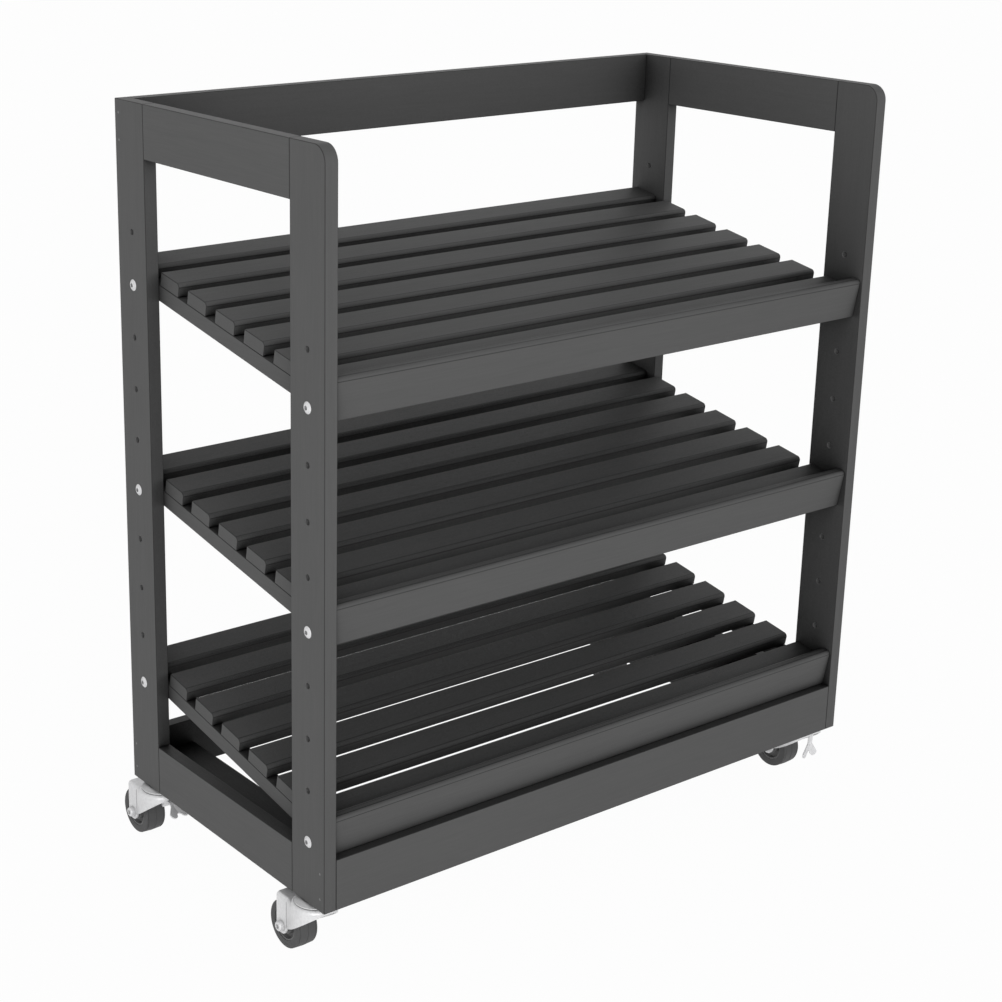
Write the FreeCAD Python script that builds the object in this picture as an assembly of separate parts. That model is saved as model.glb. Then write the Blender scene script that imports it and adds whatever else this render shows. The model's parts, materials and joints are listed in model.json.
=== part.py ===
import FreeCAD, Part
import math
import os

# Mobile shelf rack: two timber end frames, three sloping slatted shelves, four swivel casters.
# Millimetres, +Z up, front towards -Y. The origin is on the floor at the middle of the overall box.

# Timber sections
board_thickness = 18.0
board_width = 69.0
caster_rail_thickness = 34.0

# Frame
frame_width = 920.0
frame_depth = 460.0
post_height = 940.0
post_corner_radius = 21.0

# Rows of shelf holes in the posts
hole_diameter = 8.0
hole_pitch = 69.0
holes_per_shelf_step = 4
spare_holes_above = 1
rear_row_rise = 69.0

# Shelves
shelf_names = ("bottom", "middle", "top")
lip_clearance_over_rail = 0.8
runner_thickness = 18.0
runner_height = 21.0
slat_count = 7
slat_width = 44.0
slat_thickness = 18.0
slat_edge_radius = 5.5
lip_thickness = 16.0
lip_height = 54.0
lip_edge_radius = 5.5
lip_ahead_of_bolts = 25.0
runner_behind_bolts = 29.2

# Fastenings of the timber
bolt_head_diameter = 15.0
bolt_head_height = 3.2
bolt_socket_across = 5.0
bolt_socket_depth = 2.0
bolt_diameter = 6.0
bolt_end_in_insert = 1.0
insert_diameter = 10.0
insert_end_wall = 3.0
dowel_diameter = 8.0
dowel_length = 40.0
caster_dowel_length = 36.0
caster_dowel_in_rail = 12.0
lip_dowel_diameter = 6.0
lip_dowel_length = 22.0
lip_dowel_in_lip = 10.0
lip_dowels_per_shelf = 3
pin_head_diameter = 3.2
pin_head_height = 1.5
pin_diameter = 2.4
pin_length = 50.0
fastening_clearance = 0.05
pin_rows = (0.25, 0.75)
dowel_rows = (0.35, 0.65)

# Casters
wheel_diameter = 65.0
wheel_width = 29.0
axle_drop = 58.0
trail = 45.3
swivel_from_front = 46.5
swivel_from_rear = 40.5
plate_setback = 5.0
plate_length = 80.0
plate_thickness = 2.5
plate_corner_radius = 6.0
plate_hole_inset = 6.0
plate_hole_diameter = 5.5
dish_radius = 25.5
dish_top_radius = 17.0
dish_depth = 3.8
dish_rim_height = 1.2
race_outer_radius = 11.0
race_inner_radius = 6.5
race_depth = 2.5
kingpin_diameter = 10.0
kingpin_head_diameter = 18.0
kingpin_head_height = 3.0
screw_diameter = 4.5
screw_length = 16.0
screw_head_diameter = 9.0
screw_head_height = 3.0

# Fork of a caster, pressed from sheet
sheet = 2.5
crown_radius = 29.5
crown_bend_radius = 6.0
crown_below_dish = 0.7
web_below_crown = 8.0
web_bend_radius = 5.0
wheel_side_gap = 2.0
leg_width = 22.0
crease_width = 1.6
skirt_front_drop = 6.5
skirt_sag = 3.2

# Axle and wheel
axle_diameter = 8.0
axle_head_diameter = 13.0
axle_head_height = 6.5
axle_head_rounding = 2.0
axle_socket_across = 6.0
axle_socket_depth = 3.0
nut_across_flats = 13.0
nut_height = 6.0
axle_thread_end = 1.5
running_clearance = 0.05
side_clearance = 0.3
tyre_inner_diameter = 44.0
tyre_crown_drop = 0.7
tyre_shoulder_radius = 1.2
tread_line_width = 1.8
tread_line_depth = 0.9
tread_line_from_side = 2.6
core_rim = 2.5
core_recess_depth = 6.0
core_boss_diameter = 26.0
core_rim_setback = 1.0
hub_diameter = 15.0

# Brake of the rear left and front right casters
pedal_pivot_ahead = 19.0
pedal_pivot_below_crown = 10.0
pedal_tube_radius = 4.0
pedal_tube_length = 26.0
pedal_pin_diameter = 5.0
pedal_pin_cover = 0.7
pedal_thickness = 2.0
pedal_neck_width = 9.0
pedal_neck_length = 16.0
pedal_valley_reach = 28.5
pedal_lobe_reach = 38.0
pedal_lobe_spread = 15.0
pedal_lobe_radius = 5.5
pedal_fold_angle = 14.0
pedal_released_angle = 24.0
pedal_applied_angle = 95.0
pedal_cam_length = 9.0
pedal_cam_width = 12.0
leaf_width = 14.0
leaf_thickness = 1.2
leaf_seat_ahead = 16.5
leaf_tail = 4.0
leaf_drop = 18.0
leaf_gap_to_tread = 3.0

# Smallest distance that counts when edges are picked
tiny = 1e-3

# Values that follow
wheel_radius = wheel_diameter / 2
frame_bottom = axle_drop + wheel_radius
frame_top = frame_bottom + post_height
half_width = frame_width / 2
half_depth = frame_depth / 2
inner_half_width = half_width - board_thickness
post_centre_y = half_depth - board_width / 2
rail_span_y = half_depth - board_width
bolt_spacing_y = 2 * post_centre_y
shelf_tilt = math.degrees(math.atan2(rear_row_rise, bolt_spacing_y))
bolt_spacing = math.hypot(rear_row_rise, bolt_spacing_y)
lip_drop = math.sin(math.radians(shelf_tilt)) * lip_ahead_of_bolts
lip_drop += math.cos(math.radians(shelf_tilt)) * runner_height / 2
lowest_front_hole = board_width + lip_clearance_over_rail + lip_drop
hole_count = holes_per_shelf_step * (len(shelf_names) - 1) + 1 + spare_holes_above
insert_length = runner_thickness - insert_end_wall
bolt_length = board_thickness + insert_length - bolt_end_in_insert
plate_width = 2 * (board_thickness - plate_setback)
leg_gap = wheel_width + 2 * wheel_side_gap
swivel_x = inner_half_width
front_swivel_y = swivel_from_front - half_depth
rear_swivel_y = half_depth - swivel_from_rear
rear_reach = rear_swivel_y + trail + wheel_radius
origin_y = (rear_reach - half_depth) / 2

X = FreeCAD.Vector(1, 0, 0)
Y = FreeCAD.Vector(0, 1, 0)
Z = FreeCAD.Vector(0, 0, 1)
ZERO = FreeCAD.Vector(0, 0, 0)


def vec(x, y, z):
    return FreeCAD.Vector(x, y, z)


def block(x, y, z):
    """Box from pairs of limits along X, Y and Z."""
    size = (x[1] - x[0], y[1] - y[0], z[1] - z[0])
    return Part.makeBox(*size, vec(x[0], y[0], z[0]))


def rod(diameter, start, direction, length):
    return Part.makeCylinder(diameter / 2, length, start, direction)


def bore(diameter, start, direction, length):
    """Tool for a hole that clears a fastening of the given diameter."""
    return rod(diameter + 2 * fastening_clearance, start, direction, length)


def revolve_profile(points, axis):
    """Solid of revolution about an axis through the origin, from a closed outline."""
    face = Part.Face(Part.makePolygon(points + points[:1]))
    return face.revolve(ZERO, axis, 360)


def extrude_outline(points, direction):
    return Part.Face(Part.makePolygon(points + points[:1])).extrude(direction)


def edges_along(shape, direction, test):
    """Straight edges parallel to a direction whose middle point passes a test."""
    found = []
    for edge in shape.Edges:
        along = edge.Vertexes[-1].Point - edge.Vertexes[0].Point
        if along.Length > tiny and along.cross(direction).Length < tiny * along.Length:
            if test(edge.CenterOfMass):
                found.append(edge)
    return found


def hexagon(across_flats, centre, direction, height):
    """Hexagonal prism about X, with flats at top and bottom."""
    corner = across_flats / math.sqrt(3)
    angles = [math.radians(60 * step) for step in range(6)]
    points = [centre + vec(0, corner * math.cos(a), corner * math.sin(a)) for a in angles]
    return extrude_outline(points, direction * height)


def mirrored_x(shape):
    return shape.mirror(ZERO, X)


def placed(shape, x, y, z):
    copy = shape.copy()
    copy.translate(vec(x, y, z))
    return copy


def hole_height(step, rear):
    """Height above the floor of a shelf hole, counted from the lowest of its row."""
    rise = rear_row_rise if rear else 0.0
    return frame_bottom + lowest_front_hole + rise + step * hole_pitch


def post(rear):
    """Left post: upright board with its row of shelf holes, upper front corner rounded at the front."""
    low_y = rail_span_y if rear else -half_depth
    body = block((-half_width, -inner_half_width), (low_y, low_y + board_width), (frame_bottom, frame_top))
    if not rear:
        corner = edges_along(body, X, lambda p: p.z > frame_top - tiny and p.y < tiny - half_depth)
        body = body.makeFillet(post_corner_radius, corner)
    centre_y = post_centre_y if rear else -post_centre_y
    for step in range(hole_count):
        start = vec(-half_width, centre_y, hole_height(step, rear))
        body = body.cut(rod(hole_diameter, start, X, board_thickness))
    return body


def end_rail(low_z):
    x = (-half_width, -inner_half_width)
    return block(x, (-rail_span_y, rail_span_y), (low_z, low_z + board_width))


def end_frame_dowels():
    """Places of the dowels between the left end frame's rails and posts: start points along Y."""
    x = -half_width + board_thickness / 2
    starts = []
    for low_z in (frame_bottom, frame_top - board_width):
        for row in dowel_rows:
            z = low_z + board_width * row
            for joint_y in (-rail_span_y, rail_span_y):
                starts.append(vec(x, joint_y - dowel_length / 2, z))
    return starts


def cross_rail(y, low_z):
    """Rail between the end frames, its broad face along the front or back."""
    return block((-inner_half_width, inner_half_width), y, (low_z, low_z + board_width))


back_y = (half_depth - board_thickness, half_depth)
front_y = (-half_depth, -half_depth + board_thickness)
cross_rail_places = {
    "back_top_rail": (back_y, frame_top - board_width),
    "back_bottom_rail": (back_y, frame_bottom),
    "front_bottom_rail": (front_y, frame_bottom),
}


def rail_pin_places():
    """Outer points of the pins that hold the left ends of the three cross rails."""
    places = []
    for y, low_z in cross_rail_places.values():
        for row in pin_rows:
            places.append(vec(-half_width, (y[0] + y[1]) / 2, low_z + board_width * row))
    return places


def rail_pin(place, clearance):
    head = rod(pin_head_diameter + 2 * clearance, place, X, pin_head_height)
    return head.fuse(rod(pin_diameter + 2 * clearance, place, X, pin_length)).removeSplitter()


def caster_rail_dowels():
    """Start points along X of the dowels between the left bottom rail and its caster rail."""
    x = -inner_half_width - caster_dowel_in_rail
    z = frame_bottom + caster_rail_thickness / 2
    spacing = rail_span_y * 2 / 3
    return [vec(x, step * spacing, z) for step in (-1, 0, 1)]


def caster_rail():
    x = (-inner_half_width, board_width - inner_half_width)
    y = (front_y[1], back_y[0])
    return block(x, y, (frame_bottom, frame_bottom + caster_rail_thickness))


def plate_screw_places():
    """Points on the plates' undersides where the plate screws of the left casters enter."""
    reach_x = plate_width / 2 - plate_hole_inset
    reach_y = plate_length / 2 - plate_hole_inset
    places = []
    for centre_y in (front_swivel_y, rear_swivel_y):
        for side_x in (-reach_x, reach_x):
            for side_y in (-reach_y, reach_y):
                places.append(vec(-swivel_x + side_x, centre_y + side_y, frame_bottom - plate_thickness))
    return places


def plate_screw(place):
    shank = rod(screw_diameter, place, Z, screw_length)
    head = Part.makeSphere(screw_head_diameter / 2, place)
    head = head.common(rod(screw_head_diameter, place, -Z, screw_head_height))
    return shank.fuse(head)


def screw_bore(place):
    return bore(screw_diameter, place, Z, screw_length)


# Shelf, drawn level about the middle of its bolts and then tilted
lip_front = -(bolt_spacing / 2 + lip_ahead_of_bolts)
lip_back = lip_front + lip_thickness
runner_top = runner_height / 2
shelf_rear = bolt_spacing / 2 + runner_behind_bolts
slat_pitch = (shelf_rear - lip_back - slat_width) / (slat_count - 1)
slat_middle_z = runner_top + slat_thickness / 2


def lip_dowel_places():
    spacing = 2 * inner_half_width / (lip_dowels_per_shelf + 1)
    start_y = lip_back - lip_dowel_in_lip
    steps = range(1, lip_dowels_per_shelf + 1)
    return [vec(step * spacing - inner_half_width, start_y, slat_middle_z) for step in steps]


def slats():
    solids = []
    for index in range(slat_count):
        low_y = lip_back + index * slat_pitch
        y = (low_y, low_y + slat_width)
        top = runner_top + slat_thickness
        slat = block((-inner_half_width, inner_half_width), y, (runner_top, top))
        rounded = edges_along(slat, X, lambda p: p.z > top - tiny and p.y < low_y + tiny)
        slat = slat.makeFillet(slat_edge_radius, rounded)
        if index == 0:
            for place in lip_dowel_places():
                slat = slat.cut(bore(lip_dowel_diameter, place, Y, lip_dowel_length))
        solids.append(slat)
    return Part.makeCompound(solids)


def lip():
    top = lip_height - runner_top
    body = block((-inner_half_width, inner_half_width), (lip_front, lip_back), (-runner_top, top))
    rounded = edges_along(body, X, lambda p: p.z > top - tiny)
    body = body.makeFillet(lip_edge_radius, rounded)
    for place in lip_dowel_places():
        body = body.cut(bore(lip_dowel_diameter, place, Y, lip_dowel_length))
    return body


def left_runner():
    x = (-inner_half_width, runner_thickness - inner_half_width)
    body = block(x, (lip_back, shelf_rear), (-runner_top, runner_top))
    for y in (-bolt_spacing / 2, bolt_spacing / 2):
        body = body.cut(bore(insert_diameter, vec(-inner_half_width, y, 0), X, insert_length))
    return body


def left_inserts():
    solids = []
    for y in (-bolt_spacing / 2, bolt_spacing / 2):
        start = vec(-inner_half_width, y, 0)
        sleeve = rod(insert_diameter, start, X, insert_length)
        solids.append(sleeve.cut(bore(bolt_diameter, start, X, insert_length)))
    return Part.makeCompound(solids)


def lip_dowels():
    places = lip_dowel_places()
    return Part.makeCompound([rod(lip_dowel_diameter, place, Y, lip_dowel_length) for place in places])


def on_shelf(shape, step):
    """Tilt a level shelf piece and lift it to its pair of holes."""
    copy = shape.copy()
    copy.rotate(ZERO, X, shelf_tilt)
    middle = (hole_height(step, False) + hole_height(step, True)) / 2
    copy.translate(vec(0, 0, middle))
    return copy


def shelf_bolt():
    """Domed socket bolt, head on the post's outer face at the origin, shank towards +X."""
    radius = bolt_head_diameter / 2
    dome_radius = (radius ** 2 + bolt_head_height ** 2) / (2 * bolt_head_height)
    dome = Part.makeSphere(dome_radius, vec(dome_radius - bolt_head_height, 0, 0))
    head = dome.common(rod(bolt_head_diameter, ZERO, -X, bolt_head_height))
    shank = rod(bolt_diameter, ZERO, X, bolt_length)
    socket = hexagon(bolt_socket_across, vec(-bolt_head_height, 0, 0), X, bolt_socket_depth)
    return head.fuse(shank).cut(socket)


def shelf_bolts(step):
    left = []
    for rear in (False, True):
        y = post_centre_y if rear else -post_centre_y
        left.append(placed(shelf_bolt(), -half_width, y, hole_height(step, rear)))
    return Part.makeCompound(left + [mirrored_x(bolt) for bolt in left])


# Caster, drawn about its swivel axis with the plate's upper face at zero and the wheel behind
dish_bottom = -plate_thickness - dish_depth
crown_top = dish_bottom - crown_below_dish
web_top = crown_top - web_below_crown
leg_half = leg_gap / 2 + sheet
leg_front = trail - leg_width / 2
leg_rear = trail + leg_width / 2
axle_centre = vec(0, trail, -axle_drop)
pedal_pivot = vec(0, -pedal_pivot_ahead, crown_top - pedal_pivot_below_crown)
pedal_hole_front = pedal_pivot_ahead + pedal_pin_diameter / 2 + running_clearance
pedal_hole_reach = math.sqrt((crown_radius - pedal_pin_cover) ** 2 - pedal_hole_front ** 2)
pedal_pin_length = 2 * (pedal_hole_reach - side_clearance)


def top_plate():
    """Mounting plate on a sloping round dish that houses the swivel race."""
    half_x = plate_width / 2
    half_y = plate_length / 2
    plate = block((-half_x, half_x), (-half_y, half_y), (-plate_thickness, 0))
    plate = plate.makeFillet(plate_corner_radius, edges_along(plate, Z, lambda p: True))
    for side_x in (-1, 1):
        for side_y in (-1, 1):
            x = side_x * (half_x - plate_hole_inset)
            y = side_y * (half_y - plate_hole_inset)
            plate = plate.cut(rod(plate_hole_diameter, vec(x, y, -plate_thickness), Z, plate_thickness))
    base = vec(0, 0, dish_bottom)
    rim = rod(2 * dish_radius, base, Z, dish_rim_height)
    slope_height = dish_depth - dish_rim_height
    slope = Part.makeCone(dish_radius, dish_top_radius, slope_height, base + Z * dish_rim_height)
    body = plate.fuse(rim).fuse(slope).removeSplitter()
    body = body.cut(rod(2 * (race_outer_radius + side_clearance), base, Z, race_depth))
    return body.cut(rod(kingpin_diameter, base, Z, -dish_bottom))


def kingpin():
    """Rivet flush with the plate, its lower head just under the fork's crown."""
    head_top = crown_top - sheet - side_clearance
    shank = rod(kingpin_diameter, vec(0, 0, head_top), Z, -head_top)
    head = rod(kingpin_head_diameter, vec(0, 0, head_top), -Z, kingpin_head_height)
    return shank.fuse(head).removeSplitter()


def swivel_race():
    bottom = crown_top + side_clearance
    height = dish_bottom + race_depth - bottom
    ring = rod(2 * race_outer_radius, vec(0, 0, bottom), Z, height)
    return ring.cut(rod(2 * race_inner_radius, vec(0, 0, bottom), Z, height))


def tangent_point(corner_x, corner_y, radius):
    """Point where a line from a corner touches a circle about the swivel axis, on the +X side."""
    distance = math.hypot(corner_x, corner_y)
    bearing = math.atan2(corner_y, corner_x)
    opening = math.acos(radius / distance)
    return radius * math.cos(bearing - opening), radius * math.sin(bearing - opening)


def fork_form(inset, rear, bottom):
    """Closed outer form of the fork, or its hollow when inset by the sheet."""
    radius = crown_radius - inset
    leg_x = leg_half - inset
    touch_x, touch_y = tangent_point(leg_x, leg_front, radius)
    right = [(touch_x, touch_y), (leg_x, leg_front), (leg_x, rear)]
    left = [(-x, y) for x, y in reversed(right)]
    points = [vec(x, y, web_top - inset) for x, y in right + left]
    web = extrude_outline(points, vec(0, 0, bottom - web_top + inset))
    bend = [edge for edge in web.Edges if is_web_bend(edge, web_top - inset, touch_x)]
    web = web.makeFillet(web_bend_radius - inset, bend)
    crown = Part.makeCylinder(radius, crown_top - inset - bottom, vec(0, 0, bottom))
    rim = [edge for edge in crown.Edges if edge.Closed and edge.CenterOfMass.z > crown_top - inset - tiny]
    crown = crown.makeFillet(crown_bend_radius - inset, rim)
    return web.fuse(crown)


def is_web_bend(edge, top, touch_x):
    """True for the long side edges at the top of the web."""
    ends = [vertex.Point for vertex in edge.Vertexes]
    at_top = all(abs(point.z - top) < tiny for point in ends)
    one_side = len(ends) == 2 and ends[0].x * ends[1].x > 0
    return at_top and one_side and max(abs(point.x) for point in ends) < touch_x + tiny


def skirt_outline():
    """Side view that the fork keeps: rising skirt edge, leg rounded about the axle."""
    front = -crown_radius - sheet
    front_edge = crown_top - skirt_front_drop
    ceiling = crown_top + sheet
    start = vec(0, -crown_radius, front_edge)
    skirt_end = vec(0, leg_front, -axle_drop)
    middle = (start + skirt_end) * 0.5 - vec(0, 0, skirt_sag)
    leg_end = vec(0, leg_rear, -axle_drop)
    leg_foot = vec(0, trail, -axle_drop - leg_width / 2)
    edges = [
        Part.Arc(start, middle, skirt_end).toShape(),
        Part.Arc(skirt_end, leg_foot, leg_end).toShape(),
        Part.makeLine(leg_end, vec(0, leg_rear, ceiling)),
        Part.makeLine(vec(0, leg_rear, ceiling), vec(0, front, ceiling)),
        Part.makeLine(vec(0, front, ceiling), vec(0, front, front_edge)),
        Part.makeLine(vec(0, front, front_edge), start),
    ]
    return Part.Face(Part.Wire(edges))


def fork(braked):
    floor = -frame_bottom
    hood = fork_form(0, leg_rear, floor).cut(fork_form(sheet, leg_rear + sheet, floor))
    side = skirt_outline().extrude(X * 2 * (crown_radius + sheet))
    side.translate(X * -(crown_radius + sheet))
    body = hood.common(side)
    body = body.cut(bore(kingpin_diameter, vec(0, 0, crown_top), -Z, 2 * sheet))
    body = body.cut(bore(axle_diameter, axle_centre - X * leg_half, X, 2 * leg_half))
    crease_foot = -axle_drop - leg_width / 2
    crease_height = web_top - web_bend_radius - crease_foot
    for x in (-leg_half, leg_half):
        body = body.cut(rod(crease_width, vec(x, leg_front, crease_foot), Z, crease_height))
    if braked:
        pin_hole = pedal_pin_diameter + 2 * running_clearance
        body = body.cut(rod(pin_hole, pedal_pivot - X * pedal_hole_reach, X, 2 * pedal_hole_reach))
    return body


def axle():
    """Axle bolt with its rounded socket head on the left leg and its nut on the right leg."""
    head_face = axle_centre - X * (leg_half + axle_head_height)
    head = rod(axle_head_diameter, head_face, X, axle_head_height)
    rim = [edge for edge in head.Edges if edge.Closed and edge.CenterOfMass.x < head_face.x + tiny]
    head = head.makeFillet(axle_head_rounding, rim)
    head = head.cut(hexagon(axle_socket_across, head_face, X, axle_socket_depth))
    length = 2 * leg_half + nut_height + axle_thread_end
    shank = rod(axle_diameter, axle_centre - X * leg_half, X, length)
    nut_face = axle_centre + X * leg_half
    nut = hexagon(nut_across_flats, nut_face, X, nut_height)
    nut = nut.cut(bore(axle_diameter, nut_face, X, nut_height))
    return Part.makeCompound([head.fuse(shank), nut])


def tyre():
    """Solid tyre, slightly crowned, with rounded shoulders and three fine lines round the tread."""
    half = wheel_width / 2
    inner = tyre_inner_diameter / 2
    shoulder = wheel_radius - tyre_crown_drop
    line = tread_line_width / 2
    side_line = half - tread_line_from_side

    def on_tread(x, depth):
        share = min(1.0, (half - x) / (half - line))
        return x, shoulder + tyre_crown_drop * share - depth

    right = [(half, inner), (half, shoulder), on_tread(side_line + line, 0)]
    right += [on_tread(side_line, tread_line_depth), on_tread(side_line - line, 0), on_tread(line, 0)]
    left = [(-x, radius) for x, radius in reversed(right)]
    points = [vec(x, radius, 0) for x, radius in right + [on_tread(0, tread_line_depth)] + left]
    ring = revolve_profile(points, X)
    rims = [edge for edge in ring.Edges if is_circle_of_radius(edge, shoulder)]
    ring = ring.makeFillet(tyre_shoulder_radius, rims)
    ring.translate(axle_centre)
    return ring


def is_circle_of_radius(edge, radius):
    return isinstance(edge.Curve, Part.Circle) and abs(edge.Curve.Radius - radius) < tiny


def wheel_core():
    """Moulded core: rim under the tyre, recessed disc, boss, and hub that bears on the axle."""
    rim_half = wheel_width / 2 - core_rim_setback
    disc_half = rim_half - core_recess_depth
    hub_half = leg_gap / 2 - side_clearance
    rim_outer = tyre_inner_diameter / 2
    rim_inner = rim_outer - core_rim
    boss = core_boss_diameter / 2
    hub = hub_diameter / 2
    bearing = axle_diameter / 2 + running_clearance
    right = [(hub_half, bearing), (hub_half, hub), (rim_half, hub), (rim_half, boss), (disc_half, boss)]
    right += [(disc_half, rim_inner), (rim_half, rim_inner), (rim_half, rim_outer)]
    left = [(-x, r) for x, r in reversed(right)]
    core = revolve_profile([vec(x, r, 0) for x, r in right + left], X)
    core.translate(axle_centre)
    return core


def pedal_half(side):
    """One lobe of the pedal, drawn flat on the arm's centre line and folded up along it."""
    neck = pedal_neck_width / 2
    lobe_x = pedal_lobe_spread - pedal_lobe_radius
    lobe_y = -(pedal_lobe_reach - pedal_lobe_radius)
    slope = math.atan2(pedal_lobe_spread - neck, pedal_lobe_reach - pedal_lobe_radius - pedal_neck_length)
    outer_x = lobe_x + pedal_lobe_radius * math.cos(slope)
    outer = vec(outer_x, lobe_y + pedal_lobe_radius * math.sin(slope), 0)
    tip = vec(lobe_x, lobe_y - pedal_lobe_radius, 0)
    inner = vec(lobe_x - pedal_lobe_radius, lobe_y, 0)
    valley = vec(0, -pedal_valley_reach, 0)
    neck_end = vec(neck, -pedal_neck_length, 0)
    edges = [
        Part.makeLine(ZERO, vec(neck, 0, 0)),
        Part.makeLine(vec(neck, 0, 0), neck_end),
        Part.makeLine(neck_end, outer),
        Part.Arc(outer, tip, inner).toShape(),
        Part.makeLine(inner, valley),
        Part.makeLine(valley, ZERO),
    ]
    half = Part.Face(Part.Wire(edges)).extrude(vec(0, 0, pedal_thickness))
    half.rotate(ZERO, Y, -pedal_fold_angle)
    return mirrored_x(half) if side < 0 else half


def brake_pedal(angle):
    """Two-lobed pedal with its tube and cam, and the pivot pin that turns with it."""
    arm = pedal_half(1).fuse(pedal_half(-1))
    tube = rod(2 * pedal_tube_radius, X * (-pedal_tube_length / 2), X, pedal_tube_length)
    reach = pedal_tube_radius + pedal_cam_length
    cam_x = (-pedal_cam_width / 2, pedal_cam_width / 2)
    cam = block(cam_x, (-pedal_thickness, pedal_thickness), (-reach, 0))
    body = arm.fuse(tube).fuse(cam)
    body = body.cut(rod(pedal_pin_diameter, X * (-pedal_tube_length / 2), X, pedal_tube_length))
    pin = rod(pedal_pin_diameter, X * (-pedal_pin_length / 2), X, pedal_pin_length)
    pair = Part.makeCompound([body, pin])
    pair.rotate(ZERO, X, angle)
    pair.translate(pedal_pivot)
    return pair


def brake_leaf():
    """Leaf spring under the fork's web, its tail out at the rear, its tongue in front of the tread."""
    web_under = web_top - sheet
    foot_z = web_under - leaf_drop
    tread_y = trail - math.sqrt((wheel_radius + leaf_gap_to_tread) ** 2 - (axle_drop + foot_z) ** 2)
    seat_rear = leg_rear + leaf_tail
    seat_front = crown_radius - leaf_seat_ahead
    knee = vec(0, seat_front - leaf_thickness, web_under - leaf_drop / 2)
    foot = vec(0, tread_y - leaf_thickness, foot_z)
    upper = [vec(0, seat_rear, web_under), vec(0, seat_front, web_under), knee, foot]
    thick = vec(0, leaf_thickness, -leaf_thickness)
    lower = [point + thick for point in reversed(upper)]
    lower[-1] = upper[0] - vec(0, 0, leaf_thickness)
    leaf = extrude_outline(upper + lower, X * leaf_width)
    leaf.translate(X * (-leaf_width / 2))
    return leaf


# Assembly
nodes = {}

left_frame_bores = [bore(dowel_diameter, start, Y, dowel_length) for start in end_frame_dowels()]
caster_rail_bores = [bore(dowel_diameter, start, X, caster_dowel_length) for start in caster_rail_dowels()]
pin_bores = [rail_pin(place, fastening_clearance) for place in rail_pin_places()]
screw_bores = [screw_bore(place) for place in plate_screw_places()]
left_bores = left_frame_bores + caster_rail_bores + pin_bores + screw_bores
right_bores = [mirrored_x(tool) for tool in left_bores]


def drilled(shape, tools):
    """Cut those of the tools that reach into the shape."""
    reaching = [tool for tool in tools if tool.BoundBox.intersect(shape.BoundBox)]
    return shape.cut(reaching) if reaching else shape


left_end = {
    "front_post": post(False),
    "rear_post": post(True),
    "top_rail": end_rail(frame_top - board_width),
    "bottom_rail": end_rail(frame_bottom),
    "caster_rail": caster_rail(),
}
for name, shape in left_end.items():
    board = drilled(shape, left_bores)
    nodes["left_" + name] = board
    nodes["right_" + name] = mirrored_x(board)
for name, (y, low_z) in cross_rail_places.items():
    nodes[name] = drilled(cross_rail(y, low_z), left_bores + right_bores)

left_dowels = [rod(dowel_diameter, start, Y, dowel_length) for start in end_frame_dowels()]
left_dowels += [rod(dowel_diameter, start, X, caster_dowel_length) for start in caster_rail_dowels()]
left_pins = [rail_pin(place, 0.0) for place in rail_pin_places()]
left_screws = [plate_screw(place) for place in plate_screw_places()]
fastening_groups = {"frame_dowels": left_dowels, "rail_pins": left_pins, "plate_screws": left_screws}
for name, group in fastening_groups.items():
    nodes[name] = Part.makeCompound(group + [mirrored_x(piece) for piece in group])

inserts = []
dowels_in_lips = []
for index, name in enumerate(shelf_names):
    step = index * holes_per_shelf_step
    runner = left_runner()
    nodes[name + "_left_runner"] = on_shelf(runner, step)
    nodes[name + "_right_runner"] = on_shelf(mirrored_x(runner), step)
    nodes[name + "_slats"] = on_shelf(slats(), step)
    nodes[name + "_lip"] = on_shelf(lip(), step)
    nodes[name + "_shelf_bolts"] = shelf_bolts(step)
    for shape in (left_inserts(), mirrored_x(left_inserts())):
        inserts += on_shelf(shape, step).Solids
    dowels_in_lips += on_shelf(lip_dowels(), step).Solids
nodes["insert_nuts"] = Part.makeCompound(inserts)
nodes["lip_dowels"] = Part.makeCompound(dowels_in_lips)

caster_places = {
    "front_left": (-swivel_x, front_swivel_y, None),
    "front_right": (swivel_x, front_swivel_y, pedal_applied_angle),
    "rear_left": (-swivel_x, rear_swivel_y, pedal_released_angle),
    "rear_right": (swivel_x, rear_swivel_y, None),
}
kingpins = []
races = []
for name, (x, y, pedal_angle) in caster_places.items():
    braked = pedal_angle is not None
    caster = {
        "plate": top_plate(),
        "fork": fork(braked),
        "axle": axle(),
        "wheel_core": wheel_core(),
        "tyre": tyre(),
    }
    if braked:
        caster["brake_pedal"] = brake_pedal(pedal_angle)
        caster["brake_leaf"] = brake_leaf()
    for piece, shape in caster.items():
        nodes[name + "_" + piece] = placed(shape, x, y, frame_bottom)
    kingpins.append(placed(kingpin(), x, y, frame_bottom))
    races.append(placed(swivel_race(), x, y, frame_bottom))
nodes["caster_kingpins"] = Part.makeCompound(kingpins)
nodes["swivel_races"] = Part.makeCompound(races)

os.makedirs("parts", exist_ok=True)
for name, shape in nodes.items():
    placed(shape, 0, -origin_y, 0).exportStep(os.path.join("parts", name + ".step"))
print("nodes", len(nodes), "origin shift", round(origin_y, 3), "shelf tilt", round(shelf_tilt, 3))
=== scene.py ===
import json
import math

import bmesh
import bpy
from mathutils import Matrix, Vector

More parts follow.
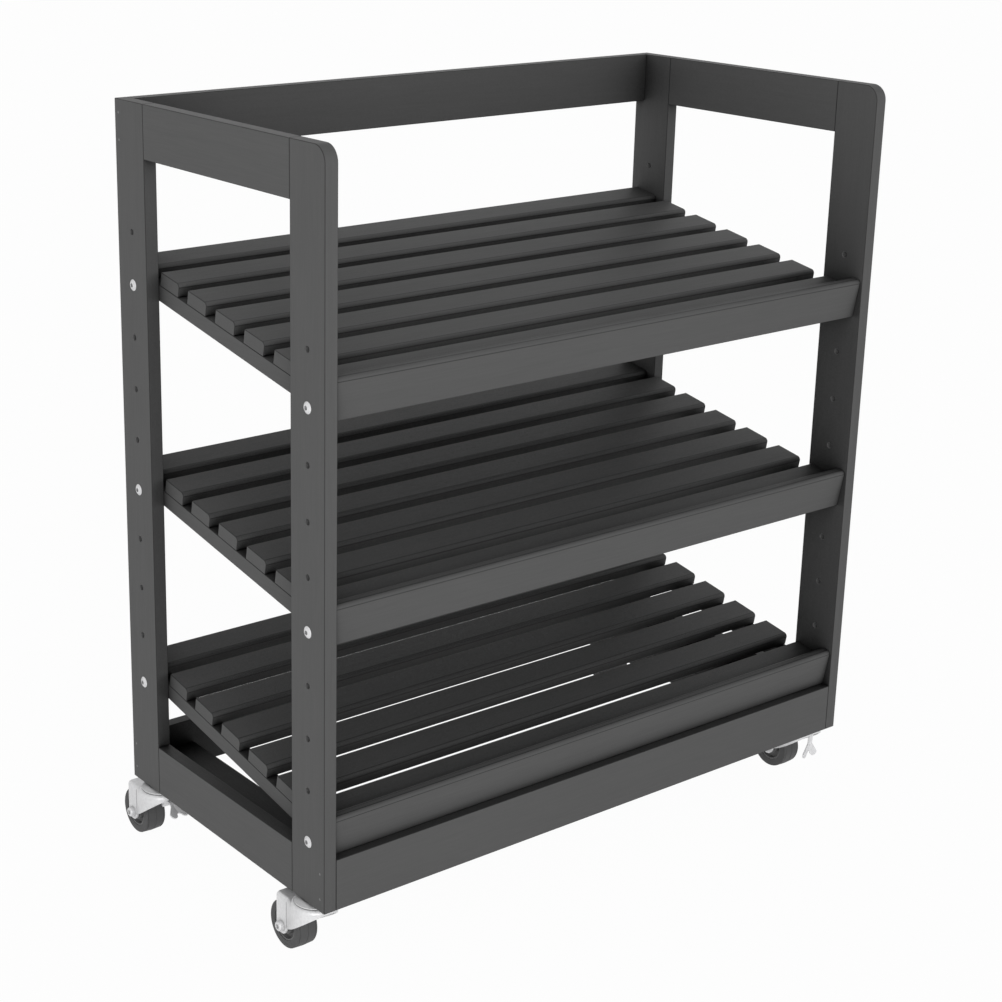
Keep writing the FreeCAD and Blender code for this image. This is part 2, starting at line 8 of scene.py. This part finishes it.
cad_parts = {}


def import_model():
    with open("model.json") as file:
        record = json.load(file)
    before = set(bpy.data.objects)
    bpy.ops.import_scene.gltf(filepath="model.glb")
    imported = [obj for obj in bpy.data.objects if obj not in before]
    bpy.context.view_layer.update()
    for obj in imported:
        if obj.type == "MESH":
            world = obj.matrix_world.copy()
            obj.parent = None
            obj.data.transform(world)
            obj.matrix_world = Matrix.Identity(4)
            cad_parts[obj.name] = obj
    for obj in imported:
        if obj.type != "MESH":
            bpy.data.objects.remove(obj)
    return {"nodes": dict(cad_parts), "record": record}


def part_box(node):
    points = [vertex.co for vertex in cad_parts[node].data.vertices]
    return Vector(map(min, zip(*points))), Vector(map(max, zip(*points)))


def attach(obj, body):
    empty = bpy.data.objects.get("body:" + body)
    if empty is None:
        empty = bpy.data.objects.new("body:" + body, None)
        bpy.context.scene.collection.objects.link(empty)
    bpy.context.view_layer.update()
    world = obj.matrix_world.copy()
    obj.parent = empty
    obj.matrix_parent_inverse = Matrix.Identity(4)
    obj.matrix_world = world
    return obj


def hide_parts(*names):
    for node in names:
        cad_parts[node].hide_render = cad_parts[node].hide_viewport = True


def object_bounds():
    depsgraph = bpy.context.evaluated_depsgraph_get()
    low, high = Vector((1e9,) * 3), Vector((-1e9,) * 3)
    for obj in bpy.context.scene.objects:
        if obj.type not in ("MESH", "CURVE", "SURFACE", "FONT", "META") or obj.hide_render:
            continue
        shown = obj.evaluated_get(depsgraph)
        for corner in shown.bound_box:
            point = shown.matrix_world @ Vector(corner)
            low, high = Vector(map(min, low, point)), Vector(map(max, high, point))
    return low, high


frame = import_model()
cad_low, cad_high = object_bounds()
nodes = frame["nodes"]
record = frame["record"]
slots = {part["node"]: part["material_slot"] for part in record["subparts"]}
body_of = {node: body for body, members in record["behaviour"]["bodies"].items() for node in members}

# Photograph's frame and camera; sizes here and below are in metres, angles in degrees
image_size = 1002
axis_pixel = (360.0, 440.0)
camera_lens = 72.286
camera_sensor = 36.0
camera_azimuth = -36.216
camera_elevation = 17.313
camera_roll = 0.39
camera_offset = Vector((-1.70985, -2.00422, 1.28365))

# Timber details; line_steps is how many facets at each end of a rounding carry a dark line
arris = 0.0008
arris_steps = 2
least_radius = arris / 50
smooth_below = 20.0
round_steps = 14
post_corner = 0.021
slat_rounding = 0.0055
slat_foot = 0.002
line_steps = 2
hole_radius = 0.004
hole_rim = 0.0005
hole_segments = 40
hole_wall_reach = 1.2 * hole_radius
hole_gap = 4 * hole_radius

# Fastening details; shares are of a head's radius, or of the socket's width
turned_segments = 48
dome_steps = 8
bolt_socket = 0.005
bolt_socket_depth = 0.0022
bolt_flat = bolt_socket * 0.66
bolt_shank_share = 0.4
socket_mouth_share = 1.08
socket_chamfer_share = 0.05
pin_dome = 0.00035
pin_flat_share = 0.125
pin_shank_share = 0.75

# Surfaces; painted shade darkens a colour where nearby surfaces close in, within a reach and down to
# a low
noise_middle = (0.3, 0.7)
painted_shade_middle = (0.25, 0.95)
painted_shade_samples = 8
# Painted shade in the paint inside the frame: its colour falls to 1 % of the grey in the deepest
# places
frame_painted_shade = {"reach": 0.5, "low": 0.01}
# Painted shade in the zinc within this reach of a corner or crease
corner_shade_reach = 0.005
even = (1.0, 1.0, 1.0)
grain_stretch = 0.035
paint_grey = 0.094
arris_grey = 0.04
# Hole walls: a little lighter than the faces, painted light against the real shade in the holes
bore_grey = 0.1
satin_specular = 0.15
moulding_specular = 0.25

# Floor and light
floor_reach = 12.0
floor_grey = 0.9
floor_roughness = 0.8
white_share = 0.97
overhead_light = 0.12
key_light = {"azimuth": -35.0, "elevation": 12.0, "distance": 4.0, "size": 2.6, "watts": 66.0}


# Materials
def new_material(name):
    material = bpy.data.materials.new(name)
    material.use_nodes = True
    tree = material.node_tree
    return material, tree, tree.nodes["Principled BSDF"]


def add(tree, kind, **values):
    """Adds a node, sets its properties and the values of its inputs."""
    node = tree.nodes.new(kind)
    for key, value in values.items():
        if key in node.inputs:
            node.inputs[key].default_value = value
        else:
            setattr(node, key, value)
    return node


def stretched_position(tree, scale):
    """Object position with its own scale along each axis."""
    place = add(tree, "ShaderNodeTexCoord")
    mapping = add(tree, "ShaderNodeMapping")
    mapping.inputs["Scale"].default_value = scale
    tree.links.new(place.outputs["Object"], mapping.inputs["Vector"])
    return mapping.outputs["Vector"]


def noise(tree, vector, scale, detail=3.0, roughness=0.55, distortion=0.0):
    node = add(tree, "ShaderNodeTexNoise", Scale=scale, Detail=detail,
               Roughness=roughness, Distortion=distortion)
    tree.links.new(vector, node.inputs["Vector"])
    return node.outputs["Fac"]


def remap(tree, value, source, target):
    """Maps a value's source range to the target range."""
    node = add(tree, "ShaderNodeMapRange")
    for name, number in zip(("From Min", "From Max", "To Min", "To Max"), source + target):
        node.inputs[name].default_value = number
    tree.links.new(value, node.inputs["Value"])
    return node.outputs["Result"]


def spread(tree, value, low, high):
    """Maps a noise value's middle range to low..high."""
    return remap(tree, value, noise_middle, (low, high))


def calculate(tree, operation, first, second):
    node = add(tree, "ShaderNodeMath", operation=operation)
    tree.links.new(first, node.inputs[0])
    tree.links.new(second, node.inputs[1])
    return node.outputs["Value"]


def multiply(tree, first, second):
    return calculate(tree, "MULTIPLY", first, second)


def tinted(tree, colour, factor):
    """Colour times a factor that varies over the surface."""
    node = add(tree, "ShaderNodeVectorMath", operation="SCALE")
    node.inputs[0].default_value = colour
    tree.links.new(factor, node.inputs["Scale"])
    return node.outputs["Vector"]


def bump(tree, height, distance, strength, below=None):
    node = add(tree, "ShaderNodeBump", Strength=strength, Distance=distance)
    tree.links.new(height, node.inputs["Height"])
    if below is not None:
        tree.links.new(below, node.inputs["Normal"])
    return node.outputs["Normal"]


def painted_shade_factor(tree, reach, low):
    """Painted shade: a colour factor that falls from 1 to low where nearby surfaces close in."""
    occlusion = add(tree, "ShaderNodeAmbientOcclusion", samples=painted_shade_samples, Distance=reach)
    return remap(tree, occlusion.outputs["AO"], painted_shade_middle, (low, 1.0))


def painted_timber(axis, name, grey, with_painted_shade=True):
    """Dark grey satin paint on planed timber: grain telegraphs through along the board; with painted
    shade, its colour darkens where the frame closes in.
    """
    material, tree, shader = new_material(name + "_" + "xyz"[axis])
    across = list(even)
    across[axis] = grain_stretch
    grain_place = stretched_position(tree, across)
    grain = noise(tree, grain_place, 520.0, detail=5.0, roughness=0.6, distortion=0.4)
    figure = noise(tree, grain_place, 90.0, detail=2.0, roughness=0.5, distortion=0.8)
    place = stretched_position(tree, even)
    film = noise(tree, place, 1300.0, detail=2.0)
    cloud = noise(tree, place, 6.0, detail=2.0)
    shade = multiply(tree, spread(tree, grain, 0.96, 1.03), spread(tree, cloud, 0.985, 1.015))
    shade = multiply(tree, shade, spread(tree, figure, 0.98, 1.02))
    # Painted shade: the colour darkens where the frame closes in
    if with_painted_shade:
        shade = multiply(tree, shade, painted_shade_factor(tree, **frame_painted_shade))
    tree.links.new(tinted(tree, (grey, grey, grey), shade), shader.inputs["Base Color"])
    rough = multiply(tree, spread(tree, film, 0.5, 0.58), spread(tree, grain, 1.06, 0.95))
    tree.links.new(rough, shader.inputs["Roughness"])
    relief = bump(tree, film, distance=0.00005, strength=0.3)
    relief = bump(tree, figure, distance=0.00015, strength=0.15, below=relief)
    relief = bump(tree, grain, distance=0.00015, strength=0.25, below=relief)
    tree.links.new(relief, shader.inputs["Normal"])
    shader.inputs["Specular IOR Level"].default_value = satin_specular
    return material


def bare_timber():
    material, tree, shader = new_material("bare_timber")
    place = stretched_position(tree, (1.0, 0.05, 1.0))
    grain = noise(tree, place, 500.0, detail=4.0)
    colour = tinted(tree, (0.55, 0.4, 0.25), spread(tree, grain, 0.8, 1.1))
    tree.links.new(colour, shader.inputs["Base Color"])
    tree.links.new(bump(tree, grain, distance=0.0002, strength=0.4), shader.inputs["Normal"])
    shader.inputs["Roughness"].default_value = 0.7
    return material


def zinc_steel(name, grey, corner=1.0):
    """Zinc plating with a faint spangle and fine handling marks; painted shade darkens its colour in
    tight corners and creases, down to the corner factor.
    """
    material, tree, shader = new_material(name)
    place = stretched_position(tree, even)
    spangle = add(tree, "ShaderNodeTexVoronoi", Scale=260.0)
    tree.links.new(place, spangle.inputs["Vector"])
    cloud = noise(tree, place, 40.0)
    marks = noise(tree, stretched_position(tree, (1.0, 0.08, 1.0)), 1500.0)
    spots = spread(tree, spangle.outputs["Distance"], 0.96, 1.02)
    shade = multiply(tree, spots, spread(tree, cloud, 0.94, 1.03))
    # Painted shade: the colour darkens in tight corners and creases
    shade = multiply(tree, shade, painted_shade_factor(tree, corner_shade_reach, corner))
    tree.links.new(tinted(tree, (grey, grey, grey * 1.01), shade), shader.inputs["Base Color"])
    rough = multiply(tree, spread(tree, cloud, 0.34, 0.44), spread(tree, marks, 0.92, 1.08))
    tree.links.new(rough, shader.inputs["Roughness"])
    relief = bump(tree, marks, distance=0.00004, strength=0.25)
    tree.links.new(relief, shader.inputs["Normal"])
    shader.inputs["Metallic"].default_value = 0.2
    return material


def dark_moulding(name, colour, rough_low, rough_high, grain_scale):
    """Moulded rubber or plastic with a fine eroded texture."""
    material, tree, shader = new_material(name)
    place = stretched_position(tree, even)
    grain = noise(tree, place, grain_scale, roughness=0.65)
    cloud = noise(tree, place, 55.0)
    shade = multiply(tree, spread(tree, grain, 0.92, 1.06), spread(tree, cloud, 0.92, 1.07))
    tree.links.new(tinted(tree, colour, shade), shader.inputs["Base Color"])
    tree.links.new(spread(tree, cloud, rough_low, rough_high), shader.inputs["Roughness"])
    tree.links.new(bump(tree, grain, distance=0.0001, strength=0.35), shader.inputs["Normal"])
    shader.inputs["Specular IOR Level"].default_value = moulding_specular
    return material


paint = [painted_timber(axis, "painted_timber", paint_grey) for axis in range(3)]
edge_paint = [painted_timber(axis, "painted_arris", arris_grey) for axis in range(3)]
# Hole walls: the paint a little lighter and without painted shade, painted light that lifts them in
# the holes' real shade
bore_paint = painted_timber(2, "painted_bore", bore_grey, with_painted_shade=False)
plain_materials = {
    "bare_timber": bare_timber(),
    # corner is how far the painted shade darkens the zinc in tight corners
    "zinc_steel": zinc_steel("zinc_steel", grey=0.78, corner=0.25),
    "wheel_plastic": dark_moulding("wheel_plastic", colour=(0.14, 0.14, 0.141),
                                   rough_low=0.45, rough_high=0.55, grain_scale=900.0),
    "tyre_rubber": dark_moulding("tyre_rubber", colour=(0.085, 0.085, 0.086),
                                 rough_low=0.55, rough_high=0.7, grain_scale=1400.0),
}
bolt_steel = zinc_steel("bolt_steel", grey=0.74, corner=0.6)
pin_steel = zinc_steel("pin_steel", grey=0.17)
# Darker steel for the hex sockets: painted shade in the recess
socket_shade_steel = zinc_steel("socket_shade_steel", grey=0.4, corner=0.8)


def dress(obj, *materials):
    """Gives an object these materials; pop() keeps the faces' slots, which clear() would reset."""
    while obj.data.materials:
        obj.data.materials.pop()
    for material in materials:
        obj.data.materials.append(material)


def stand_in(name, bm, node):
    """Makes an object of a mesh that stands for a solid of the frame and moves with it."""
    bmesh.ops.recalc_face_normals(bm, faces=bm.faces)
    for face in bm.faces:
        face.smooth = True
    for edge in bm.edges:
        flat = edge.calc_face_angle(0.0) < math.radians(smooth_below)
        edge.smooth = len(edge.link_faces) == 2 and flat
    mesh = bpy.data.meshes.new(name)
    bm.to_mesh(mesh)
    bm.free()
    obj = bpy.data.objects.new(name, mesh)
    bpy.context.scene.collection.objects.link(obj)
    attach(obj, body_of[node])
    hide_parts(node)
    return obj


def islands(node):
    """Points of each separate solid of a node."""
    bm = bmesh.new()
    bm.from_mesh(nodes[node].data)
    bmesh.ops.remove_doubles(bm, verts=bm.verts, dist=1e-6)
    left = dict.fromkeys(bm.verts)  # unlike a set, it keeps one order on every run
    groups = []
    while left:
        queue = [left.popitem()[0]]
        group = []
        while queue:
            vertex = queue.pop()
            group.append(vertex.co.copy())
            for edge in vertex.link_edges:
                other = edge.other_vert(vertex)
                if other in left:
                    del left[other]
                    queue.append(other)
        groups.append(group)
    bm.free()
    return groups


def extent(points, turn):
    """Box of points seen in a frame turned by a matrix."""
    local = [turn.inverted() @ point for point in points]
    low = Vector([min(p[i] for p in local) for i in range(3)])
    high = Vector([max(p[i] for p in local) for i in range(3)])
    return low, high


# Timber: boards drawn again with eased edges, fine roundings and fine holes
def outline(low, high, radii, inset):
    """Rectangle with rounded corners, and for each point whether an eased edge follows it."""
    corners = [(low[0], low[1]), (high[0], low[1]), (high[0], high[1]), (low[0], high[1])]
    points = []
    eased = []
    for index, corner in enumerate(corners):
        corner = Vector(corner)
        before = (Vector(corners[index - 1]) - corner).normalized()
        after = (Vector(corners[(index + 1) % 4]) - corner).normalized()
        radius = radii[index]
        steps = round_steps if radius > arris else arris_steps
        small = max(radius - inset, least_radius)
        start = corner + (before + after) * inset
        middle = start + (before + after) * small
        for step in range(steps + 1):
            angle = math.pi / 2 * step / steps
            points.append(middle - after * small * math.cos(angle) - before * small * math.sin(angle))
            line = step < line_steps or steps - line_steps <= step < steps
            eased.append((radius == slat_rounding and line) or (radius == arris and step < steps))
    return points, eased


def board(low, high, axis, turn, radii=None, holes=()):
    """Board along an axis of a turned frame: outline across it, ends eased, holes along it."""
    radii = radii or [arris] * 4
    u, v = [i for i in range(3) if i != axis]
    flat_low = (low[u], low[v])
    flat_high = (high[u], high[v])
    bm = bmesh.new()

    def spot(point, w):
        place = Vector((0.0, 0.0, 0.0))
        place[u], place[v], place[axis] = point[0], point[1], w
        return bm.verts.new(turn @ place)

    def depths(size):
        """Insets and places along the board of the rings that round both ends."""
        angles = [math.pi / 2 * step / arris_steps for step in range(arris_steps + 1)]
        near = [(size * (1 - math.sin(a)), low[axis] + size * (1 - math.cos(a))) for a in angles]
        return near + [(inset, low[axis] + high[axis] - w) for inset, w in reversed(near)]

    def skin(rings, slot):
        """Joins rings of points with faces; slot tells each face's material."""
        for level in range(len(rings) - 1):
            count = len(rings[level])
            for index in range(count):
                after = (index + 1) % count
                face = bm.faces.new([rings[level][index], rings[level][after],
                                     rings[level + 1][after], rings[level + 1][index]])
                face.material_index = slot(level, index)

    rings = []
    for inset, w in depths(arris):
        points, eased = outline(flat_low, flat_high, radii, inset)
        rings.append([spot(point, w) for point in points])
    skin(rings, lambda level, index: int(level != arris_steps or eased[index]))
    first = [rings[0]]
    last = [rings[-1]]
    for centre in holes:
        rings = []
        for inset, w in depths(hole_rim):
            angles = [2 * math.pi * step / hole_segments for step in range(hole_segments)]
            radius = hole_radius + inset
            around = [(centre[0] + radius * math.cos(a), centre[1] + radius * math.sin(a))
                      for a in angles]
            rings.append([spot(point, w) for point in around])
        skin(rings, lambda level, index: 2)
        first.append(rings[0])
        last.append(rings[-1])
    for loops in (first, last):
        edges = []
        for loop in loops:
            for index in range(len(loop)):
                edges.append(bm.edges.get((loop[index - 1], loop[index])))
        if holes:
            bmesh.ops.triangle_fill(bm, edges=edges, use_dissolve=False, use_beauty=True)
        else:
            bm.faces.new(loops[0])
    return bm


def hole_centres(node, low, high):
    """Places of a post's row of holes, from the points of their walls on its middle line."""
    middle = (low.y + high.y) / 2
    points = [vertex.co for vertex in nodes[node].data.vertices]
    heights = sorted(p.z for p in points if abs(p.y - middle) < hole_wall_reach)
    groups = [[heights[0]]]
    for height in heights[1:]:
        if height - groups[-1][-1] > hole_gap:
            groups.append([])
        groups[-1].append(height)
    spans = [(group[0], group[-1]) for group in groups]
    return [(middle, (bottom + top) / 2) for bottom, top in spans if top - bottom > hole_radius]


def joined(meshes):
    """One mesh of several, which are freed."""
    whole = bmesh.new()
    for bm in meshes:
        part = bpy.data.meshes.new("part")
        bm.to_mesh(part)
        bm.free()
        whole.from_mesh(part)
        bpy.data.meshes.remove(part)
    return whole


def shelf_turn(node):
    """Rotation of the shelf that a node belongs to, from the slope of its deck."""
    name = node.split("_")[0] + "_shelf_deck"
    slope = [mount["axis"] for mount in record["mounts"] if mount["name"] == name][0]
    return Matrix.Rotation(math.atan2(-slope[1], slope[2]), 3, "X")


def draw_board(node):
    """Board of a node, drawn along its grain; gives the mesh and the grain's axis."""
    level = Matrix.Identity(3)
    points = [vertex.co for vertex in nodes[node].data.vertices]
    low, high = extent(points, level)
    if node.endswith("_post"):
        radii = [arris, arris, arris, post_corner if "front" in node else arris]
        return board(low, high, 0, level, radii, hole_centres(node, low, high)), 2
    if node.endswith(("_slats", "_lip")):
        turn = shelf_turn(node)
        radii = [arris, arris, slat_rounding, slat_rounding]
        if node.endswith("_slats"):
            radii = [slat_foot, arris, arris, slat_rounding]
        boxes = [extent(group, turn) for group in islands(node)]
        return joined([board(a, b, 0, turn, radii) for a, b in boxes]), 0
    if node.endswith("_runner"):
        turn = shelf_turn(node)
        low, high = extent(points, turn)
        return board(low, high, 1, turn), 1
    size = high - low
    axis = max(range(3), key=lambda i: size[i])
    return board(low, high, axis, level), axis


# Fastenings: turned heads drawn again with fine facets
def turned(profile, socket, place, direction):
    """Solid turned from (radius, height) pairs; a socket is a hexagon's width and depth, or None; the
    socket's faces take slot 1, for a darker steel that paints the shade in the socket.
    """
    bm = bmesh.new()
    turn = Vector(direction).to_track_quat("Z", "Y").to_matrix()
    angles = [2 * math.pi * step / turned_segments for step in range(turned_segments)]

    def ring(reach, height):
        spots = []
        for a in angles:
            radius = reach(a)
            local = Vector((radius * math.cos(a), radius * math.sin(a), height))
            spots.append(bm.verts.new(Vector(place) + turn @ local))
        return spots

    def hexagon(across):
        """Reach of a hexagon's side at an angle."""
        return lambda a: across / 2 / math.cos((a + math.pi / 6) % (math.pi / 3) - math.pi / 6)

    rings = [ring(lambda a, r=radius: r, height) for radius, height in profile]
    if socket:
        across, depth = socket
        top = profile[-1][1]
        rings.append(ring(hexagon(across * socket_mouth_share), top))
        rings.append(ring(hexagon(across), top - across * socket_chamfer_share))
        rings.append(ring(hexagon(across), top - depth))
    for level, (a, b) in enumerate(zip(rings, rings[1:])):
        for index in range(turned_segments):
            after = (index + 1) % turned_segments
            face = bm.faces.new([a[index], a[after], b[after], b[index]])
            face.material_index = 1 if level >= len(profile) else 0
    bm.faces.new(rings[0])
    bm.faces.new(rings[-1]).material_index = 1 if socket else 0
    return bm


def dome_profile(radius, height, flat, shank, length):
    """Shank, underside and domed top of a head up to its flat, as (radius, height) pairs."""
    sphere = (radius ** 2 + height ** 2) / (2 * height)
    profile = [(shank, -length), (shank, 0.0), (radius, 0.0)]
    for step in range(1, dome_steps + 1):
        r = radius + (flat - radius) * step / dome_steps
        profile.append((r, math.sqrt(sphere ** 2 - r ** 2) - sphere + height))
    return profile


def draw_fastenings(node):
    """Heads and shanks of a node's bolts or pins, each in the place of its solid."""
    meshes = []
    for group in islands(node):
        low, high = extent(group, Matrix.Identity(3))
        middle = (low + high) / 2
        side = 1 if middle.x > 0 else -1
        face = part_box("right_front_post")[1].x * side
        height = abs(high.x if side > 0 else low.x) - abs(face)
        length = (high.x - low.x) - abs(height)
        head = (high.z - low.z) / 2
        if node == "rail_pins":
            flat, shank = head * pin_flat_share, head * pin_shank_share
            profile = dome_profile(head, pin_dome, flat, shank, length)
            socket = None
        else:
            profile = dome_profile(head, height, bolt_flat, head * bolt_shank_share, length)
            socket = (bolt_socket, bolt_socket_depth)
        meshes.append(turned(profile, socket, (face, middle.y, middle.z), (side, 0, 0)))
    return joined(meshes)


for node, obj in nodes.items():
    if slots[node] == "painted_timber":
        mesh, axis = draw_board(node)
        dress(obj, paint[axis])
        dress(stand_in(node + "_board", mesh, node), paint[axis], edge_paint[axis], bore_paint)
        continue
    dress(obj, bolt_steel if node.endswith("_axle") else plain_materials[slots[node]])
    if node.endswith("_shelf_bolts"):
        # The socket faces take the darker steel: painted shade in the sockets
        dress(stand_in(node + "_turned", draw_fastenings(node), node), bolt_steel, socket_shade_steel)
    if node == "rail_pins":
        dress(stand_in(node + "_turned", draw_fastenings(node), node), pin_steel)


# Floor, light and camera
def white_rays(tree):
    """1 for the rays that show the white background: the camera's, and those of gloss and glass."""
    path = add(tree, "ShaderNodeLightPath")
    white = path.outputs["Is Camera Ray"]
    for kind in ("Is Glossy Ray", "Is Transmission Ray"):
        white = calculate(tree, "MAXIMUM", white, path.outputs[kind])
    return white


def floor():
    """Pale floor that is nearly white where it is seen, with a trace of the shadow."""
    mesh = bpy.data.meshes.new("floor")
    turns = ((-1, -1), (1, -1), (1, 1), (-1, 1))
    corners = [(x * floor_reach, y * floor_reach, 0) for x, y in turns]
    mesh.from_pydata(corners, [], [(0, 1, 2, 3)])
    plane = bpy.data.objects.new("floor", mesh)
    bpy.context.scene.collection.objects.link(plane)
    material, tree, shader = new_material("floor")
    shader.inputs["Base Color"].default_value = (floor_grey, floor_grey, floor_grey, 1.0)
    shader.inputs["Roughness"].default_value = floor_roughness
    share = add(tree, "ShaderNodeMath", operation="MULTIPLY")
    share.inputs[1].default_value = white_share
    tree.links.new(white_rays(tree), share.inputs[0])
    glow = add(tree, "ShaderNodeEmission", Color=(1.0, 1.0, 1.0, 1.0), Strength=1.0)
    mix = add(tree, "ShaderNodeMixShader")
    tree.links.new(share.outputs["Value"], mix.inputs["Fac"])
    tree.links.new(shader.outputs["BSDF"], mix.inputs[1])
    tree.links.new(glow.outputs["Emission"], mix.inputs[2])
    tree.links.new(mix.outputs["Shader"], tree.nodes["Material Output"].inputs["Surface"])
    plane.data.materials.append(material)
    plane.visible_shadow = False


def world(overhead):
    """White surroundings where they are seen; as light they are dimmer overhead than around."""
    surroundings = bpy.data.worlds.new("studio")
    bpy.context.scene.world = surroundings
    surroundings.use_nodes = True
    tree = surroundings.node_tree
    background = tree.nodes["Background"]
    background.inputs["Color"].default_value = (1.0, 1.0, 1.0, 1.0)
    place = add(tree, "ShaderNodeTexCoord")
    split = add(tree, "ShaderNodeSeparateXYZ")
    tree.links.new(place.outputs["Generated"], split.inputs["Vector"])
    level = remap(tree, split.outputs["Z"], (0.0, 1.0), (1.0, overhead))
    strength = calculate(tree, "MAXIMUM", level, white_rays(tree))
    tree.links.new(strength, background.inputs["Strength"])


def direction_from(azimuth, elevation):
    """Unit vector towards a viewer at that azimuth and elevation; azimuth 0 is the front."""
    a = math.radians(azimuth)
    e = math.radians(elevation)
    return Vector((math.sin(a) * math.cos(e), -math.cos(a) * math.cos(e), math.sin(e)))


def soft_light(name, azimuth, elevation, distance, size, watts):
    """Square area light that points at the middle of the rack."""
    centre = (cad_low + cad_high) / 2
    direction = direction_from(azimuth, elevation)
    lamp = bpy.data.lights.new(name, "AREA")
    lamp.size = size
    lamp.energy = watts
    obj = bpy.data.objects.new(name, lamp)
    obj.location = centre + direction * distance
    obj.rotation_mode = "QUATERNION"
    obj.rotation_quaternion = direction.to_track_quat("Z", "Y")
    bpy.context.scene.collection.objects.link(obj)


def camera():
    """Camera of the photograph, placed from the frame's middle at the foot of the posts."""
    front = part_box("left_front_post")[0]
    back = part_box("left_rear_post")[1]
    foot = Vector((0.0, (front.y + back.y) / 2, front.z))
    data = bpy.data.cameras.new("camera")
    data.lens = camera_lens
    data.sensor_width = camera_sensor
    data.shift_x = (image_size / 2 - axis_pixel[0]) / image_size
    data.shift_y = (axis_pixel[1] - image_size / 2) / image_size
    obj = bpy.data.objects.new("camera", data)
    obj.location = foot + camera_offset
    obj.rotation_mode = "QUATERNION"
    look = direction_from(camera_azimuth, camera_elevation).to_track_quat("Z", "Y")
    roll = Matrix.Rotation(math.radians(camera_roll), 4, "Z").to_quaternion()
    obj.rotation_quaternion = look @ roll
    bpy.context.scene.collection.objects.link(obj)
    bpy.context.scene.camera = obj


floor()
world(overhead_light)
soft_light("key", **key_light)
camera()
bpy.context.scene.view_settings.view_transform = "Standard"
